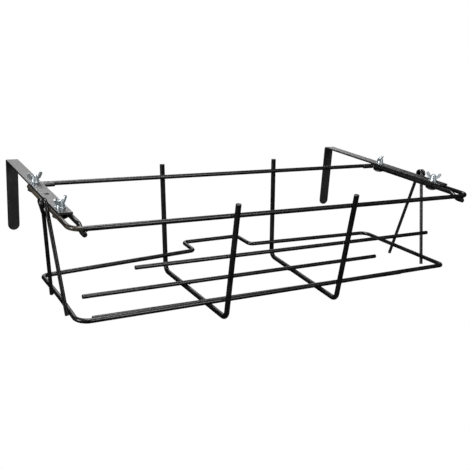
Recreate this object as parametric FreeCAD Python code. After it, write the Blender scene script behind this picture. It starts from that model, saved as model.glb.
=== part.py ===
"""Over-the-rail wire feeder rack: a welded wire trough frame with two adjustable flat-bar hooks.

Frame of the part: X runs along the rack to the right, Y from its front to the rail behind it, Z up.
While it is drawn, Y is 0 at the top front wire; at the end everything is shifted along Y, so that the
origin is the middle of the bounding box on the surface that the ribs stand on. All sizes are in mm.
"""

import FreeCAD
import Part

import math
import os

# Stock
FRAME_WIRE = 6.4        # diameter of the top, lower and rod wires
RIB_WIRE = 7.5          # diameter of the two U ribs that carry everything
RAIL_WIRE = 5.4         # diameter of the front rail
STRUT_WIRE = 5.2        # diameter of the end struts
BAR_WIDTH = 18.0
BAR_THICKNESS = 3.0
WELD_GAP = 0.06         # room left between wires that are welded side to side
RUNNING_GAP = 0.3       # room between the hooks and the wires that they slide on
END_ROUND = 0.8         # rounding of a cut wire end

# Rack
RACK_LENGTH = 620.0     # between the centres of the two outer side wires
RACK_DEPTH = 221.5      # from the top front wire to the top rear wire
RIB_FLOOR = RIB_WIRE / 2
TOP = RIB_FLOOR + 149.0                 # height of the top wires' centres
LOWER_DROP = 122.1                      # from the top wires down to the lower frame
RAIL_DROP = 57.2                        # from the top wires down to the front rail
SIDE = RACK_LENGTH / 2
TOP_CORNER = 16.0
RETURN_CORNER = 7.0
RETURN_LENGTH = 37.0
SLOT_PITCH = 15.5       # from an outer side wire to the slide rail inside it
RAIL_JOGGLE = (22.0, 8.0, -4.0)         # Y where a slide rail starts down, is down, and ends

# Ribs: X at the top front, X at the top rear, sideways lean at the floor
RIBS = {
    "left": dict(front_x=-98.3, rear_x=-103.5, lean=3.6),
    "right": dict(front_x=85.9, rear_x=95.2, lean=4.6),
}
RIB_BEND = 12.0
RIB_TIP = 18.0          # how far the rib ends stand above the top wires

# Lower frame: corners as seen from above with their bend radii, from one side of the butt weld to the other
LOWER_CORNERS = [
    (51.6, 262.0, 8.0),
    (52.8, 216.0, 8.0),
    (289.5, 210.2, 15.0),
    (303.2, 25.4, 6.5),
    (-298.8, 11.2, 16.0),
    (-298.4, 93.0, 420.0),
    (-301.2, 179.5, 9.0),
    (-50.8, 214.8, 8.0),
    (-50.8, 257.8, 8.0),
]

# Rods: X of the two ends, Y at the two ends
FLOOR_ROD_FRONT = (-266.0, 252.3, 60.0, 64.0)
FLOOR_ROD_REAR = (-257.9, 262.9, 133.5, 143.0)
FRONT_RAIL_ENDS = (-229.4, 244.9)

# End struts: coil centre, and the Y and drop of the two feet below the top wires
STRUTS = {
    "left": dict(side=-1, eye_y=91.5, eye_height=7.6, front=(39.7, 124.0), rear=(114.4, 124.5)),
    "right": dict(side=1, eye_y=121.0, eye_height=6.2, front=(73.5, 137.0), rear=(147.5, 141.4)),
}
EYE_RADIUS = 5.0        # of the coil's wire centre
EYE_PITCH = STRUT_WIRE + 0.15
EYE_STEPS = [0, 0, 0, 0.06, 0.25, 0.5, 0.75, 0.94, 1, 1, 1, 1]  # sideways travel at each short bend, in pitches

EYE_LANDING = (8.0, 1.0, 8.0)           # the rear leg's bend: below the top wires, off its touching place, radius

# Hooks
BAR_FRONT = 49.0
HOOK_BACK = 366.0       # rear face of the drop leg
HOOK_DROP = 109.5       # from the top wires down to the end of the drop leg
BAR_BEND = 1.5          # inside radius
BAR_EDGE = 0.5
BAR_HOLE = 7.0
HOLE_PLACES = {"front": 73.0, "spare": 140.4, "rear": 207.8}

# Fasteners
BOLT_DIAMETER = 6.0
BOLT_HEAD = (15.5, 3.3)                 # diameter, height
BOLT_NECK = (6.4, 4.2)                  # side of the square, height
BOLT_END = 10.8                         # above the bar
CLAMP_WASHER = (20.0, 6.7, 2.0)         # diameter, side of the square hole, thickness
NUT_WASHER = (14.0, 6.4, 1.2)           # outer, inner diameter, thickness
NUT_BORE = BOLT_DIAMETER + 0.1
NUT_HUB = (11.6, 9.0, 7.4)              # lower and upper diameter, height
NUT_WING = [(3.6, 2.0, 0), (8.6, 3.6, 3), (13.2, 10.8, 2.2), (9.2, 12.6, 1.9), (5.7, 6.8, 1.6), (3.6, 6.8, 0)]
WING_THICKNESS = 2.2
WING_ANGLES = {"left_front": 40.0, "left_rear": 24.0, "right_front": -63.0, "right_rear": 30.0}

shapes = {}


def point(x, y, z):
    return FreeCAD.Vector(x, y, z)


def bend(before, corner, after, radius):
    """The arc of this radius that rounds a corner, as its start, middle and end."""
    towards_before = (before - corner).normalize()
    towards_after = (after - corner).normalize()
    half_angle = towards_before.getAngle(towards_after) / 2
    inward = (towards_before + towards_after).normalize()
    reach = radius / math.tan(half_angle)
    middle = corner + inward * (radius / math.sin(half_angle) - radius)
    return corner + towards_before * reach, middle, corner + towards_after * reach


def bent_path(points, radii):
    """Straight runs joined by tangent arcs, one radius for each inner point."""
    edges = []
    start = points[0]
    for before, corner, after, radius in zip(points, points[1:], points[2:], radii):
        enter, middle, leave = bend(before, corner, after, radius)
        edges.append(Part.LineSegment(start, enter).toShape())
        edges.append(Part.Arc(enter, middle, leave).toShape())
        start = leave
    edges.append(Part.LineSegment(start, points[-1]).toShape())
    return Part.Wire(edges)


def rounded_outline(corners):
    """A closed flat outline from (point, radius) corners; a radius of 0 keeps a corner sharp."""
    edges = []
    ends = []
    for index, (corner, radius) in enumerate(corners):
        before = corners[index - 1][0]
        after = corners[(index + 1) % len(corners)][0]
        if radius:
            enter, middle, leave = bend(before, corner, after, radius)
            edges.append(Part.Arc(enter, middle, leave).toShape())
            ends.append((enter, leave))
        else:
            ends.append((corner, corner))
    for index, (enter, _) in enumerate(ends):
        edges.append(Part.LineSegment(ends[index - 1][1], enter).toShape())
    return Part.Face(Part.Wire(Part.__sortEdges__(edges)))


def wire(points, radii, diameter):
    """A bent wire with rounded ends, checked against its section times its length."""
    path = bent_path(points, radii)
    direction = points[1] - points[0]
    section = Part.Wire([Part.makeCircle(diameter / 2, points[0], direction)])
    solid = path.makePipeShell([section], True, False)
    expected = math.pi * diameter**2 / 4 * path.Length
    if abs(solid.Volume / expected - 1) > 0.01:
        raise ValueError(f"a wire's volume is {solid.Volume:.0f}, not {expected:.0f}")
    rims = [
        edge
        for edge in solid.Edges
        if min((edge.CenterOfMass - points[0]).Length, (edge.CenterOfMass - points[-1]).Length) < 0.01
    ]
    return solid.makeFillet(END_ROUND, rims)


def on_line(start, end, height):
    """The point of a line at this height."""
    share = (height - start.z) / (end.z - start.z)
    return start + (end - start) * share


def lower_run(x, rear):
    """Y of the lower frame's front or rear wire at this X, and the slope of that wire in plan."""
    for (x0, y0, _), (x1, y1, _) in zip(LOWER_CORNERS, LOWER_CORNERS[1:]):
        if (y0 > RACK_DEPTH / 2) == rear and (y1 > RACK_DEPTH / 2) == rear and min(x0, x1) < x < max(x0, x1):
            slope = (y1 - y0) / (x1 - x0)
            return y0 + slope * (x - x0), slope
    raise ValueError("no lower wire here")


def lower_side(side, y):
    """X of the lower frame's side wire at this Y."""
    corners = [corner for corner in LOWER_CORNERS if corner[0] * side > 280]
    corners.sort(key=lambda corner: corner[1])
    for (x0, y0, _), (x1, y1, _) in zip(corners, corners[1:]):
        if y <= y1:
            return x0 + (x1 - x0) * (y - y0) / (y1 - y0)
    return corners[-1][0]


# ---------------------------------------------------------------- top wires


def top_frame():
    """The outer wire: front, two sides, and two short returns that end beside the rear wire."""
    return_y = RACK_DEPTH - FRAME_WIRE - WELD_GAP
    return_x = SIDE - RETURN_LENGTH
    points = [
        point(-return_x, return_y, TOP),
        point(-SIDE, return_y, TOP),
        point(-SIDE, 0, TOP),
        point(SIDE, 0, TOP),
        point(SIDE, return_y, TOP),
        point(return_x, return_y, TOP),
    ]
    return wire(points, [RETURN_CORNER, TOP_CORNER, TOP_CORNER, RETURN_CORNER], FRAME_WIRE)


def top_rear():
    reach = SIDE - 8.0
    return wire([point(-reach, RACK_DEPTH, TOP), point(reach, RACK_DEPTH, TOP)], [], FRAME_WIRE)


def slide_rail(side):
    """The inner rail of a slot: butts on the return, and steps down under the front wire."""
    x = side * (SIDE - SLOT_PITCH)
    rear = RACK_DEPTH - 1.5 * FRAME_WIRE - 2 * WELD_GAP
    below = TOP - FRAME_WIRE - WELD_GAP
    start_down, is_down, tip = RAIL_JOGGLE
    points = [point(x, rear, TOP), point(x, start_down, TOP), point(x, is_down, below), point(x, tip, below)]
    return wire(points, [10.0, 10.0], FRAME_WIRE)


# ---------------------------------------------------------------- ribs, lower frame and rods


def rib_upright(x, lean, rear):
    """An upright that touches a top wire and the lower wire from outside: at the top wire, and at the floor."""
    touch = (FRAME_WIRE + RIB_WIRE) / 2 + WELD_GAP
    outward = 1 if rear else -1
    top_y = RACK_DEPTH if rear else 0
    low_y, plan_slope = lower_run(x + lean, rear)
    slope = (low_y - top_y) / LOWER_DROP
    reach = outward * touch * math.hypot(1, slope, plan_slope)
    top = point(x, top_y + reach, TOP)
    low = point(x + lean * LOWER_DROP / (TOP - RIB_FLOOR), low_y + reach, TOP - LOWER_DROP)
    return top, on_line(top, low, RIB_FLOOR)


def rib_corners(rib):
    """The four corners of a rib's U: top front, bottom front, bottom rear, top rear."""
    front, front_foot = rib_upright(rib["front_x"], rib["lean"], False)
    rear, rear_foot = rib_upright(rib["rear_x"], rib["lean"], True)
    return on_line(front, front_foot, TOP + RIB_TIP), front_foot, rear_foot, on_line(rear, rear_foot, TOP + RIB_TIP)


def lower_frame():
    """The closed lower loop; its butt weld is in the middle of the step at the back."""
    height = TOP - LOWER_DROP
    corners = [point(x, y, height) for x, y, _ in LOWER_CORNERS]
    weld = (corners[0] + corners[-1]) * 0.5
    half_gap = (corners[0] - corners[-1]).normalize() * (WELD_GAP / 2)
    ends = [weld + half_gap, weld - half_gap]
    return wire([ends[0], *corners, ends[1]], [radius for _, _, radius in LOWER_CORNERS], FRAME_WIRE)


def floor_rod(left, right, left_y, right_y):
    height = RIB_FLOOR + (FRAME_WIRE + RIB_WIRE) / 2 + WELD_GAP
    return wire([point(left, left_y, height), point(right, right_y, height)], [], FRAME_WIRE)


def front_rail():
    """The rod across the inside of the two front uprights."""
    height = TOP - RAIL_DROP
    touch = (RAIL_WIRE + RIB_WIRE) / 2 + WELD_GAP
    inner = []
    for rib in RIBS.values():
        top, foot, _, _ = rib_corners(rib)
        upright = on_line(top, foot, height)
        slope = (foot.y - top.y) / (top.z - foot.z)
        inner.append(upright + point(0, touch * math.hypot(1, slope), 0))
    along = (inner[1] - inner[0]) * (1 / (inner[1].x - inner[0].x))
    return wire([inner[0] + along * (x - inner[0].x) for x in FRONT_RAIL_ENDS], [], RAIL_WIRE)


# ---------------------------------------------------------------- end struts


def strut_foot(side, top, foot_y, drop):
    """The end of a leg that runs down from this point and touches the lower side wire from outside."""
    touch = (FRAME_WIRE + STRUT_WIRE) / 2 + WELD_GAP
    low = TOP - LOWER_DROP
    low_y = top.y + (foot_y - top.y) * (top.z - low) / (top.z - TOP + drop)
    wire_x = lower_side(side, low_y)
    lean = (top.x - wire_x) / (top.z - low)
    plan_slope = lower_side(side, low_y + 1) - wire_x
    contact = point(wire_x + side * touch * math.hypot(1, lean, plan_slope), low_y, low)
    return on_line(top, contact, TOP - drop)


def end_strut(side, eye_y, eye_height, front, rear):
    """One wire outside an end of the rack: front leg, a coil that makes an eye, rear leg."""
    eye_z = TOP + eye_height
    touch = (FRAME_WIRE + STRUT_WIRE) / 2 + WELD_GAP * 2

    # The front leg touches the top wire, so the coil above it starts a little further out
    touch_point = point(side * (SIDE + touch), eye_y, TOP)
    front_foot = strut_foot(side, touch_point, *front)
    coil_x = on_line(touch_point, front_foot, eye_z + EYE_RADIUS).x

    # The legs leave the coil along its tangents
    def tangent_angle(foot_y, drop, turn_side):
        """Angle of the place where a straight leg to this foot leaves the coil, from that side of it."""
        dy = (foot_y - eye_y) * turn_side
        dz = -drop - eye_height
        return math.atan2(dz, dy) + math.acos(EYE_RADIUS / math.hypot(dy, dz))

    front_angle = math.pi - tangent_angle(*front, -1)
    rear_angle = tangent_angle(*rear, 1)

    # The rear leg comes back in below the coil, to run down as close to the rack as the front leg
    below, off, landing_radius = EYE_LANDING
    leaves_y = eye_y + EYE_RADIUS * math.cos(rear_angle)
    leaves_z = eye_z + EYE_RADIUS * math.sin(rear_angle)
    share = (leaves_z - TOP + below) / (leaves_z - TOP + rear[1])
    landing = point(touch_point.x + side * off, leaves_y + (rear[0] - leaves_y) * share, TOP - below)
    rear_foot = strut_foot(side, landing, *rear)
    step = (2 * math.pi + front_angle - rear_angle) / len(EYE_STEPS)
    corner_radius = EYE_RADIUS / math.cos(step / 2)
    coil = []
    for index, travel in enumerate(EYE_STEPS):
        angle = front_angle - step * (index + 0.5)
        coil.append(
            point(
                coil_x + side * EYE_PITCH * travel,
                eye_y + corner_radius * math.cos(angle),
                eye_z + corner_radius * math.sin(angle),
            )
        )
    radii = [EYE_RADIUS * 0.97] * len(EYE_STEPS) + [landing_radius]
    return wire([front_foot, *coil, landing, rear_foot], radii, STRUT_WIRE)


# ---------------------------------------------------------------- hooks

BAR_UNDER = TOP + FRAME_WIRE / 2 + RUNNING_GAP
BAR_TOP = BAR_UNDER + BAR_THICKNESS
RAIL_UNDER = TOP - FRAME_WIRE / 2 - RUNNING_GAP
CLAMP_UNDER = RAIL_UNDER - CLAMP_WASHER[2]
NUT_SEAT = BAR_TOP + NUT_WASHER[2]


def slot_x(side):
    return side * (SIDE - SLOT_PITCH / 2)


def upright_cylinder(diameter, height, x, y, z):
    return Part.makeCylinder(diameter / 2, height, point(x, y, z))


def square_post(width, height, x, y, z):
    return Part.makeBox(width, width, height, point(x - width / 2, y - width / 2, z))


def hook_bar(side):
    """Flat bar with one sharp bend: it lies over the slot and drops behind the rail."""
    x = slot_x(side) - BAR_WIDTH / 2
    end_z = TOP - HOOK_DROP
    inner_back = HOOK_BACK - BAR_THICKNESS
    outline = rounded_outline(
        [
            (point(x, BAR_FRONT, BAR_UNDER), 0),
            (point(x, BAR_FRONT, BAR_TOP), 0),
            (point(x, HOOK_BACK, BAR_TOP), BAR_BEND + BAR_THICKNESS),
            (point(x, HOOK_BACK, end_z), 0),
            (point(x, inner_back, end_z), 0),
            (point(x, inner_back, BAR_UNDER), BAR_BEND),
        ]
    )
    bar = outline.extrude(point(BAR_WIDTH, 0, 0))
    round_end = Part.makeCylinder(
        BAR_WIDTH / 2, BAR_THICKNESS * 3, point(slot_x(side), inner_back - BAR_THICKNESS, end_z + BAR_WIDTH / 2),
        point(0, 1, 0),
    )
    corner_block = Part.makeBox(
        BAR_WIDTH * 2, BAR_THICKNESS * 3, BAR_WIDTH,
        point(x - BAR_WIDTH / 2, inner_back - BAR_THICKNESS, end_z - BAR_WIDTH / 2),
    )
    bar = bar.cut(corner_block.cut(round_end))
    long_edges = [edge for edge in bar.Edges if edge.Length > BAR_THICKNESS and not runs_across(edge)]
    bar = bar.makeFillet(BAR_EDGE, long_edges)
    for y in HOLE_PLACES.values():
        bar = bar.cut(upright_cylinder(BAR_HOLE, BAR_THICKNESS * 2, slot_x(side), y, BAR_UNDER - 1))
    return bar


def runs_across(edge):
    """Whether an edge of the bar runs straight across its width."""
    box = edge.BoundBox
    return box.XLength > BAR_WIDTH / 2 and max(box.YLength, box.ZLength) < 0.01


def bolt(x, y):
    """Carriage bolt, head down, with its square neck in the clamp washer."""
    diameter, height = BOLT_HEAD
    neck_side, neck_height = BOLT_NECK
    dome = (diameter**2 / 4 + height**2) / (2 * height)
    head = Part.makeSphere(dome, point(x, y, CLAMP_UNDER - height + dome))
    head = head.common(upright_cylinder(diameter, height, x, y, CLAMP_UNDER - height))
    neck = square_post(neck_side, neck_height, x, y, CLAMP_UNDER - 0.5)
    end = BAR_TOP + BOLT_END
    shank = upright_cylinder(BOLT_DIAMETER, end - CLAMP_UNDER, x, y, CLAMP_UNDER)
    tip = [edge for edge in shank.Edges if abs(edge.CenterOfMass.z - end) < 0.01]
    return head.fuse([neck, shank.makeChamfer(0.8, tip)]).removeSplitter()


def clamp_washer(x, y):
    diameter, hole, thickness = CLAMP_WASHER
    disc = upright_cylinder(diameter, thickness, x, y, CLAMP_UNDER)
    rims = [edge for edge in disc.Edges if edge.BoundBox.ZLength < 0.01]
    disc = disc.makeFillet(0.4, rims)
    return disc.cut(square_post(hole, thickness * 3, x, y, CLAMP_UNDER - thickness))


def nut_washer(x, y):
    diameter, hole, thickness = NUT_WASHER
    disc = upright_cylinder(diameter, thickness, x, y, BAR_TOP)
    rims = [edge for edge in disc.Edges if edge.BoundBox.ZLength < 0.01]
    disc = disc.makeFillet(0.3, rims)
    return disc.cut(upright_cylinder(hole, thickness * 3, x, y, BAR_TOP - thickness))


def wing_nut(x, y, angle):
    lower, upper, height = NUT_HUB
    base = NUT_SEAT + WELD_GAP
    hub = Part.makeCone(lower / 2, upper / 2, height, point(0, 0, 0))
    for turn in (0, 180):
        outline = rounded_outline([(point(r, -WING_THICKNESS / 2, z), radius) for r, z, radius in NUT_WING])
        wing = outline.extrude(point(0, WING_THICKNESS, 0))
        wing.rotate(point(0, 0, 0), point(0, 0, 1), turn)
        hub = hub.fuse(wing)
    hub = hub.cut(upright_cylinder(NUT_BORE, height * 3, 0, 0, -height)).removeSplitter()
    hub.rotate(point(0, 0, 0), point(0, 0, 1), angle)
    hub.translate(point(x, y, base))
    return hub


def main():
    shapes["top_frame_wire"] = top_frame()
    shapes["top_rear_wire"] = top_rear()
    shapes["lower_frame_wire"] = lower_frame()
    shapes["front_rail_rod"] = front_rail()
    shapes["floor_rod_front"] = floor_rod(*FLOOR_ROD_FRONT)
    shapes["floor_rod_rear"] = floor_rod(*FLOOR_ROD_REAR)
    for name, side in (("left", -1), ("right", 1)):
        shapes[f"slide_rail_{name}"] = slide_rail(side)
        shapes[f"rib_{name}"] = wire(list(rib_corners(RIBS[name])), [RIB_BEND, RIB_BEND], RIB_WIRE)
        shapes[f"end_strut_{name}"] = end_strut(**STRUTS[name])
        shapes[f"hook_bar_{name}"] = hook_bar(side)
        for place in ("front", "rear"):
            x, y = slot_x(side), HOLE_PLACES[place]
            shapes[f"hook_bolt_{name}_{place}"] = bolt(x, y)
            shapes[f"clamp_washer_{name}_{place}"] = clamp_washer(x, y)
            shapes[f"nut_washer_{name}_{place}"] = nut_washer(x, y)
            shapes[f"wing_nut_{name}_{place}"] = wing_nut(x, y, WING_ANGLES[f"{name}_{place}"])

    boxes = [shape.optimalBoundingBox() for shape in shapes.values()]
    middle_x = (min(box.XMin for box in boxes) + max(box.XMax for box in boxes)) / 2
    middle_y = (min(box.YMin for box in boxes) + max(box.YMax for box in boxes)) / 2
    lowest = min(box.ZMin for box in boxes)
    print(f"shift of the origin: {middle_x:.3f}, {middle_y:.3f}, {lowest:.3f}")

    os.makedirs("parts", exist_ok=True)
    for name, shape in shapes.items():
        shape.translate(point(-middle_x, -middle_y, -lowest))
        if not shape.isValid() or len(shape.Solids) != 1:
            raise ValueError(f"{name} is not one valid solid")
        shape.exportStep(f"parts/{name}.step")


main()
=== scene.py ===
import math

import bmesh
import bpy
from mathutils import Euler, Matrix, Vector


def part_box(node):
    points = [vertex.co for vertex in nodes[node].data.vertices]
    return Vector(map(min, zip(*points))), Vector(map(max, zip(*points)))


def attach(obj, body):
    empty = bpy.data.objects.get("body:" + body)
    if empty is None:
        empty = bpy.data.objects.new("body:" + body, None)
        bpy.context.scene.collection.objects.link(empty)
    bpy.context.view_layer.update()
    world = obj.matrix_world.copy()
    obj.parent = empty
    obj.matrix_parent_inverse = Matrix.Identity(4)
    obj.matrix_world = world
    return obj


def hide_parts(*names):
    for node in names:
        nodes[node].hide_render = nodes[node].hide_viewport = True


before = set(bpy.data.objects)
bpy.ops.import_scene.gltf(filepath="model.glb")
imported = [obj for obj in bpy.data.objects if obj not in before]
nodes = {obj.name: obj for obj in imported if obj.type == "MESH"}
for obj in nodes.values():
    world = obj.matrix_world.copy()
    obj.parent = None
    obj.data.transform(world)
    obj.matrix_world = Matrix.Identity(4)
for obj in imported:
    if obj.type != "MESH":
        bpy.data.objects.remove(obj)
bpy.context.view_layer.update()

SIDES = ("left", "right")
PLACES = ("front", "rear")
X_AXIS = Vector((1, 0, 0))
Y_AXIS = Vector((0, 1, 0))
Z_AXIS = Vector((0, 0, 1))


def middle(node):
    low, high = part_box(node)
    return (low + high) / 2


# ---------------------------------------------------------------- materials

# Sockets of a Mix node that mixes colours, where several sockets share one name
MIX_FACTOR, MIX_FIRST, MIX_SECOND = 0, 6, 7
MIX_RESULT = 2

# Where the painted highlight streaks start and are complete, inwards from the outside of the rack's left
# side
HIGHLIGHT_FROM = 0.02
HIGHLIGHT_FULL = 0.008


class Nodes:
    """Short names for building one material's node tree."""

    def __init__(self, name):
        self.material = bpy.data.materials.new(name)
        self.material.use_nodes = True
        self.tree = self.material.node_tree
        self.shader = self.tree.nodes["Principled BSDF"]

    def set(self, **values):
        for name, value in values.items():
            self.shader.inputs[name.replace("_", " ")].default_value = value

    def link(self, output, socket):
        self.tree.links.new(output, socket)

    def add(self, kind, **values):
        node = self.tree.nodes.new(kind)
        for name, value in values.items():
            setattr(node, name, value)
        return node

    def place(self, stretch=(1, 1, 1)):
        mapping = self.add("ShaderNodeMapping")
        mapping.inputs["Scale"].default_value = stretch
        self.link(self.add("ShaderNodeTexCoord").outputs["Object"], mapping.inputs["Vector"])
        return mapping.outputs["Vector"]

    def noise(self, scale, detail, stretch=(1, 1, 1)):
        node = self.add("ShaderNodeTexNoise")
        node.inputs["Scale"].default_value = scale
        node.inputs["Detail"].default_value = detail
        self.link(self.place(stretch), node.inputs["Vector"])
        return node.outputs["Fac"]

    def ramp(self, factor, low, high):
        """Colour between two (position, colour) stops."""
        node = self.add("ShaderNodeValToRGB")
        for element, (position, colour) in zip(node.color_ramp.elements, (low, high)):
            element.position = position
            element.color = (*colour, 1.0)
        self.link(factor, node.inputs["Fac"])
        return node.outputs["Color"]

    def mottle(self, socket, scale, detail, low, high):
        """Vary a shader socket between two (position, colour) stops with noise."""
        self.link(self.ramp(self.noise(scale, detail), low, high), self.shader.inputs[socket])

    def bump(self, height, strength, distance):
        node = self.add("ShaderNodeBump")
        node.inputs["Strength"].default_value = strength
        node.inputs["Distance"].default_value = distance
        self.link(height, node.inputs["Height"])
        self.link(node.outputs["Normal"], self.shader.inputs["Normal"])


def grey(value):
    return (value, value, value)


def black_coating(name, dark, light, rough):
    """Black coating with a fine orange peel and faint worn patches."""
    m = Nodes(name)
    m.set(Specular_IOR_Level=0.4, Coat_Weight=0.15, Coat_Roughness=0.12)
    m.mottle("Base Color", 55.0, 4.0, (0.35, grey(dark)), (0.72, grey(light)))
    m.mottle("Roughness", 140.0, 3.0, (0.3, grey(rough - 0.06)), (0.75, grey(rough + 0.1)))
    m.bump(m.noise(420.0, 2.0), 0.04, 0.0003)
    return m


def top_wire_painted_highlight():
    """The same coating, with painted olive-brown highlight streaks along the wire on the rack's left
    side.
    """
    m = black_coating("top_wire_coating", 0.0015, 0.006, 0.3)
    base_colour = m.shader.inputs["Base Color"]
    black = base_colour.links[0].from_socket
    left_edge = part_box("top_frame_wire")[0].x
    split = m.add("ShaderNodeSeparateXYZ")
    m.link(m.place(), split.inputs["Vector"])
    side = m.add("ShaderNodeMapRange")
    side.inputs["From Min"].default_value = left_edge + HIGHLIGHT_FROM
    side.inputs["From Max"].default_value = left_edge + HIGHLIGHT_FULL
    m.link(split.outputs["X"], side.inputs["Value"])
    # Painted highlight: lighter olive-brown streaks that run along the side wire
    along_the_wire = m.noise(60.0, 3.0, stretch=(6, 0.25, 6))
    highlight_streaks = m.ramp(along_the_wire, (0.4, (0.006, 0.005, 0.0035)), (0.62, (0.05, 0.043, 0.03)))
    mix = m.add("ShaderNodeMix", data_type="RGBA")
    m.link(side.outputs["Result"], mix.inputs[MIX_FACTOR])
    m.link(black, mix.inputs[MIX_FIRST])
    m.link(highlight_streaks, mix.inputs[MIX_SECOND])
    m.link(mix.outputs[MIX_RESULT], base_colour)
    return m.material


def coated_bar():
    """The flat bar's coating: it scatters more light, and has a fine speckle."""
    m = Nodes("bar_coating")
    m.set(Specular_IOR_Level=0.9, Coat_Weight=0.5, Coat_Roughness=0.34)
    m.mottle("Base Color", 300.0, 5.0, (0.3, grey(0.003)), (0.75, grey(0.009)))
    m.mottle("Roughness", 90.0, 3.0, (0.3, grey(0.34)), (0.75, grey(0.46)))
    m.bump(m.noise(700.0, 2.0), 0.35, 0.0003)
    return m.material


def zinc():
    """Bright zinc plating, slightly blue, with a soft cast texture."""
    m = Nodes("zinc_plating")
    m.set(Metallic=0.82, Specular_IOR_Level=0.6)
    m.mottle("Base Color", 260.0, 4.0, (0.3, (0.34, 0.38, 0.4)), (0.7, (0.7, 0.76, 0.79)))
    m.mottle("Roughness", 500.0, 3.0, (0.3, grey(0.2)), (0.7, grey(0.42)))
    m.bump(m.noise(600.0, 3.0), 0.4, 0.0004)
    return m.material


def weld_metal():
    """A weld bead under the coating, with a painted highlight: its colour is a little brighter than the
    wire's.
    """
    m = Nodes("weld_coating")
    m.set(Specular_IOR_Level=0.6, Coat_Weight=0.6, Coat_Roughness=0.08)
    # Painted highlight: the bead's colour is lighter than the wire coating around it
    m.mottle("Base Color", 700.0, 3.0, (0.35, grey(0.01)), (0.75, grey(0.05)))
    m.mottle("Roughness", 500.0, 2.0, (0.3, grey(0.16)), (0.7, grey(0.34)))
    m.bump(m.noise(900.0, 2.0), 0.5, 0.0005)
    return m.material


def floor_paint():
    """White that gives its own light, so that no shadow or falloff shows on it."""
    m = Nodes("floor_paint")
    m.set(Roughness=1.0, Specular_IOR_Level=0.0, Base_Color=(0.0, 0.0, 0.0, 1.0))
    m.set(Emission_Color=(1.0, 1.0, 1.0, 1.0), Emission_Strength=1.0)
    return m.material


WIRE = black_coating("wire_coating", 0.0015, 0.006, 0.3).material
TOP_WIRE = top_wire_painted_highlight()
BAR = coated_bar()
BLACK_WASHER = black_coating("washer_coating", 0.002, 0.006, 0.34).material
ZINC = zinc()
WELD = weld_metal()


def paint(obj, material):
    obj.data.materials.clear()
    obj.data.materials.append(material)


for name, node in nodes.items():
    if name.startswith("hook_bar"):
        paint(node, BAR)
    elif name.startswith("clamp_washer"):
        paint(node, BLACK_WASHER)
    elif name.startswith(("hook_bolt", "nut_washer", "wing_nut")):
        paint(node, ZINC)
    elif name == "top_frame_wire":
        paint(node, TOP_WIRE)
    else:
        paint(node, WIRE)


# ---------------------------------------------------------------- pieces


def finish_piece(name, builder, material, body, place=Vector((0, 0, 0)), smooth=True):
    """A new mesh piece from a bmesh, painted and riding on a body."""
    mesh = bpy.data.meshes.new(name)
    builder.to_mesh(mesh)
    builder.free()
    for polygon in mesh.polygons:
        polygon.use_smooth = smooth
    piece = bpy.data.objects.new(name, mesh)
    bpy.context.scene.collection.objects.link(piece)
    piece.location = place
    paint(piece, material)
    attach(piece, body)
    return piece


def ring(builder, radii, z):
    """Vertices around Z, one for each radius."""
    turn = 2 * math.pi / len(radii)
    return [
        builder.verts.new((r * math.cos(turn * k), r * math.sin(turn * k), z))
        for k, r in enumerate(radii)
    ]


def join_rings(builder, low, high):
    """Faces between two rings. A ring of one vertex is a pole."""
    around = max(len(low), len(high))
    for k in range(around):
        after = (k + 1) % around
        if len(low) == 1:
            builder.faces.new((low[0], high[after], high[k]))
        elif len(high) == 1:
            builder.faces.new((low[k], low[after], high[0]))
        else:
            builder.faces.new((low[k], low[after], high[after], high[k]))


# ---------------------------------------------------------------- clamp bolts

SHANK_RADIUS = 0.00298
THREAD_PITCH = 0.001
THREAD_DEPTH = 0.00055
THREAD_RUNOUT = 0.8 * THREAD_PITCH
THREAD_SIDES = 28
THREAD_RINGS_PER_TURN = 8
HEAD_RADIUS = 0.00775
HEAD_HEIGHT = 0.0033
HEAD_SIDES = 40
HEAD_BEVEL = 0.0004
DOME_HEIGHT = 0.86 * HEAD_HEIGHT
DOME_STEPS = 8
RIM_HEIGHT = 0.97 * HEAD_HEIGHT
NECK_SIDE = 0.0064
NECK_HEIGHT = 0.0037
NECK_SINK = 0.0003


def threaded_shank(builder, bottom, top):
    """A helical thread as a closed surface of rings whose radius follows the turn."""
    count = int((top - bottom) / (THREAD_PITCH / THREAD_RINGS_PER_TURN))
    rings = []
    for level in range(count + 1):
        z = bottom + (top - bottom) * level / count
        fade = min(1.0, (top - z) / THREAD_RUNOUT)
        radii = []
        for index in range(THREAD_SIDES):
            phase = (z / THREAD_PITCH - index / THREAD_SIDES) % 1.0
            groove = THREAD_DEPTH * (1 - abs(2 * phase - 1))
            radii.append(SHANK_RADIUS - groove - (1 - fade) * THREAD_DEPTH)
        rings.append(ring(builder, radii, z))
    for low, high in zip(rings, rings[1:]):
        join_rings(builder, low, high)
    builder.faces.new(rings[-1])
    builder.faces.new(list(reversed(rings[0])))


def domed_head(builder):
    """A head as a closed body of revolution about Z, with its dome at the bottom."""
    profile = []
    for step in range(DOME_STEPS + 1):
        angle = math.pi / 2 * step / DOME_STEPS
        profile.append((HEAD_RADIUS * math.sin(angle), DOME_HEIGHT * (1 - math.cos(angle))))
    profile.append((HEAD_RADIUS, RIM_HEIGHT))
    profile.append((HEAD_RADIUS - HEAD_BEVEL, HEAD_HEIGHT))
    profile.append((0, HEAD_HEIGHT))
    rings = []
    for radius, z in profile:
        rings.append(ring(builder, [radius] * (HEAD_SIDES if radius else 1), z))
    for low, high in zip(rings, rings[1:]):
        join_rings(builder, low, high)


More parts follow.
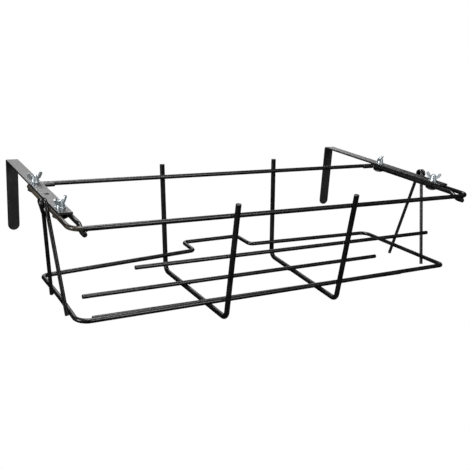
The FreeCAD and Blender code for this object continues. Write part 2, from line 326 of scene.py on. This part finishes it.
def clamp_bolt(side, place):
    """Carriage bolt: domed head, square neck, threaded shank."""
    node = f"hook_bolt_{side}_{place}"
    low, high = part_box(node)
    centre = (low + high) / 2
    builder = bmesh.new()
    domed_head(builder)
    neck = Matrix.Translation((0, 0, HEAD_HEIGHT + NECK_HEIGHT / 2 - NECK_SINK))
    neck = neck @ Matrix.Diagonal((NECK_SIDE, NECK_SIDE, NECK_HEIGHT, 1))
    bmesh.ops.create_cube(builder, size=1, matrix=neck)
    threaded_shank(builder, HEAD_HEIGHT, high.z - low.z)
    piece = finish_piece(
        f"bolt_{side}_{place}",
        builder,
        ZINC,
        f"hook_{side}",
        place=Vector((centre.x, centre.y, low.z)),
        smooth=False,
    )
    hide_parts(node)


for side in SIDES:
    for place in PLACES:
        clamp_bolt(side, place)


# ---------------------------------------------------------------- welds

FRAME_RADIUS = 0.0032
RIB_RADIUS = 0.00375
top = middle("top_rear_wire").z
front_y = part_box("top_frame_wire")[0].y + FRAME_RADIUS
rear_y = middle("top_rear_wire").y
low_z = middle("lower_frame_wire").z
rail_z = middle("front_rail_rod").z

# Heights of the tip and the foot of a rib's upright, and the heights past which a vertex counts as theirs
TIP_HEIGHT = top + 0.017
TIP_BAND = top + 0.012
FOOT_HEIGHT = 0.02
FOOT_BAND = 0.022

# Bead sizes, and how far the beads lie from the middle of the wire beside them
RIB_BEAD = 0.0014
SLOT_BEAD = 0.0013
BEAD_THICKNESS = 0.8
BEAD_UNEVENNESS = 0.16
BEAD_WAVES = Vector((2900, 3300, 3100))
BESIDE_RIB = 0.0037
BESIDE_RIB_AT_RAIL = 0.0035
BESIDE_RAIL_REAR = 0.0026
BESIDE_RAIL_FRONT = 0.003
OUT_TO_RIB = 0.0024
IN_TO_LOWER_WIRE = 0.0038
IN_TO_RAIL_ROD = 0.0036
ON_RETURN = 0.0019
HALF_WIRE_GAP = 0.00003
SURFACE_GAP = 0.0001


def beads(name, spots, size):
    """Small uneven weld beads at these (point, direction, length) spots, as one mesh."""
    builder = bmesh.new()
    for number, (spot, along, length) in enumerate(spots):
        start = len(builder.verts)
        turn = along.to_track_quat("X", "Z").to_matrix().to_4x4()
        thick = size * BEAD_THICKNESS
        shape = Matrix.Translation(spot) @ turn @ Matrix.Diagonal((size * length, thick, thick, 1))
        made = bmesh.ops.create_icosphere(builder, subdivisions=3, radius=1.0, matrix=shape)
        for vert in made["verts"]:
            wobble = math.sin(vert.co.x * BEAD_WAVES.x + number)
            wobble *= math.sin(vert.co.y * BEAD_WAVES.y)
            wobble *= math.sin(vert.co.z * BEAD_WAVES.z + start)
            vert.co += (vert.co - spot) * BEAD_UNEVENNESS * wobble
    finish_piece(name, builder, WELD, "rack")


def bead_pair(x, y, z, beside=BESIDE_RIB, along=Z_AXIS, length=1.5):
    """Two spots, one on each side of a wire whose middle is at this X."""
    return [(Vector((x + sideways * beside, y, z)), along, length) for sideways in (-1, 1)]


def upright_at(rib, is_front, height):
    """Middle of a rib's front or rear upright at this height, from its tip and its foot."""
    centre_y = middle(rib).y
    points = [vert.co for vert in nodes[rib].data.vertices]
    own = [point for point in points if (point.y < centre_y) == is_front]
    tip = [point for point in own if point.z > TIP_BAND]
    foot = [point for point in own if point.z < FOOT_BAND]
    tip_x = sum(point.x for point in tip) / len(tip)
    tip_y = sum(point.y for point in tip) / len(tip)
    foot_x = sum(point.x for point in foot) / len(foot)
    outermost = min if is_front else max
    foot_y = outermost(point.y for point in foot) + (RIB_RADIUS if is_front else -RIB_RADIUS)
    share = (height - FOOT_HEIGHT) / (TIP_HEIGHT - FOOT_HEIGHT)
    return Vector((foot_x + (tip_x - foot_x) * share, foot_y + (tip_y - foot_y) * share, height))


# The ribs: to the top wires, the lower wire, the front rail and the floor rods
for side in SIDES:
    rib = f"rib_{side}"
    front_low = upright_at(rib, True, low_z)
    rear_low = upright_at(rib, False, low_z)
    at_rail = upright_at(rib, True, rail_z)
    spots = bead_pair(upright_at(rib, True, top).x, front_y - OUT_TO_RIB, top)
    spots += bead_pair(upright_at(rib, False, top).x, rear_y + OUT_TO_RIB, top)
    spots += bead_pair(front_low.x, front_low.y + IN_TO_LOWER_WIRE, low_z)
    spots += bead_pair(rear_low.x, rear_low.y - IN_TO_LOWER_WIRE, low_z)
    spots += bead_pair(
        at_rail.x, at_rail.y + IN_TO_RAIL_ROD, rail_z, beside=BESIDE_RIB_AT_RAIL, length=1.4
    )
    for rod in ("floor_rod_front", "floor_rod_rear"):
        low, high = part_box(rod)
        share = (at_rail.x - low.x) / (high.x - low.x)
        rod_y = low.y + FRAME_RADIUS + (high.y - low.y - 2 * FRAME_RADIUS) * share
        spots += bead_pair(at_rail.x, rod_y, 2 * RIB_RADIUS, along=Y_AXIS)
    beads(f"welds_{rib}", spots, RIB_BEAD)

# The side wire's return to the rear wire, then the rear and the front end of the slide rail
for side, sign in (("left", -1), ("right", 1)):
    rail_low, rail_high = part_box(f"slide_rail_{side}")
    rail_x = (rail_low.x + rail_high.x) / 2
    rail_inside = rail_low.x if sign > 0 else rail_high.x
    on_return = (rear_y - FRAME_RADIUS - HALF_WIRE_GAP, top + ON_RETURN)
    spots = []
    for inwards in (-0.0044, 0.004, 0.0124):
        spots.append((Vector((rail_inside - sign * inwards, *on_return)), X_AXIS, 2.2))
    spots += bead_pair(rail_x, rail_high.y + SURFACE_GAP, top, beside=BESIDE_RAIL_REAR, length=1.3)
    under_front_wire = top - FRAME_RADIUS - SURFACE_GAP
    spots += bead_pair(rail_x, front_y, under_front_wire, beside=BESIDE_RAIL_FRONT, along=Y_AXIS)
    beads(f"welds_slot_{side}", spots, SLOT_BEAD)


# ---------------------------------------------------------------- floor, light and camera

FLOOR_SPAN = 6.0
FLOOR_BELOW = 0.6
LIGHT_TARGET = Vector((0, 0, 0.1))

mesh = bpy.data.meshes.new("floor")
corners = [(x * FLOOR_SPAN, y * FLOOR_SPAN, 0) for x, y in ((-1, -1), (1, -1), (1, 1), (-1, 1))]
mesh.from_pydata(corners, [], [(0, 1, 2, 3)])
floor = bpy.data.objects.new("floor", mesh)
floor.location.z = -FLOOR_BELOW
bpy.context.scene.collection.objects.link(floor)
floor.data.materials.append(floor_paint())
floor.visible_glossy = False

world = bpy.data.worlds.new("studio")
world.use_nodes = True
world.node_tree.nodes["Background"].inputs["Color"].default_value = (1, 1, 1, 1)
world.node_tree.nodes["Background"].inputs["Strength"].default_value = 1.0
world.cycles_visibility.glossy = False
bpy.context.scene.world = world
bpy.context.scene.view_settings.view_transform = "Standard"


def area_light(name, place, size, energy):
    """A rectangular light that faces the rack and is not seen itself."""
    data = bpy.data.lights.new(name, "AREA")
    data.shape = "RECTANGLE"
    data.size, data.size_y = size
    data.energy = energy
    light = bpy.data.objects.new(name, data)
    light.location = place
    light.rotation_euler = (LIGHT_TARGET - Vector(place)).to_track_quat("-Z", "Y").to_euler()
    light.visible_camera = False
    bpy.context.scene.collection.objects.link(light)


area_light("overhead", (-0.1, 0.1, 1.9), (1.3, 0.5), 40)
area_light("back", (0.9, 3.0, 1.5), (3.2, 1.1), 24)
area_light("left", (-2.4, -0.5, 0.9), (0.6, 1.2), 46)
area_light("front", (0.9, -2.6, 1.5), (1.0, 0.8), 34)

# The camera: degrees about X, Y and Z, and where it stands from the middle of the top rear wire
CAMERA_TURN = (72.547, -3.455, -27.833)
CAMERA_FROM_REAR_WIRE = Vector((-0.5211, -0.9909, 0.2497))
CAMERA_LENS = 54.8
CAMERA_SENSOR = 36

camera = bpy.data.objects.new("camera", bpy.data.cameras.new("camera"))
camera.data.lens = CAMERA_LENS
camera.data.sensor_width = CAMERA_SENSOR
camera.data.clip_start = 0.01
camera_turn = Euler([math.radians(angle) for angle in CAMERA_TURN]).to_matrix().to_4x4()
camera_place = Matrix.Translation(middle("top_rear_wire") + CAMERA_FROM_REAR_WIRE)
camera.matrix_world = camera_place @ camera_turn
bpy.context.scene.collection.objects.link(camera)
bpy.context.scene.camera = camera
